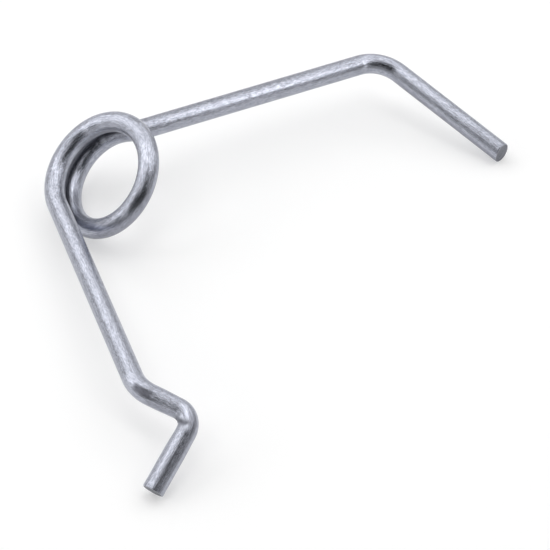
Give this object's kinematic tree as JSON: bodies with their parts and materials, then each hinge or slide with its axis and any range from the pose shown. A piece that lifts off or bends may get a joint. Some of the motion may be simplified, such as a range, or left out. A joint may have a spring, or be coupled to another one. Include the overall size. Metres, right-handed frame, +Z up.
{
  "type": "torsion spring",
  "caption": "Torsion spring of round steel wire with a short open coil, a long leg with a hooked end and a long leg with an elbow.",
  "frame": {"origin": "on the surface that the spring lies on, under the middle of its box", "axes": "+Z up, +X from the foot of the hooked leg to the foot of the kinked leg, +Y towards the coil"},
  "size_m": [0.109, 0.0664, 0.0192],
  "materials": {
    "spring": "dull grey drawn steel wire with fine streaks along it and dark tool marks at its bends"
  },
  "bodies": {
    "root": {"spring": "spring"}
  },
  "joints": []
}
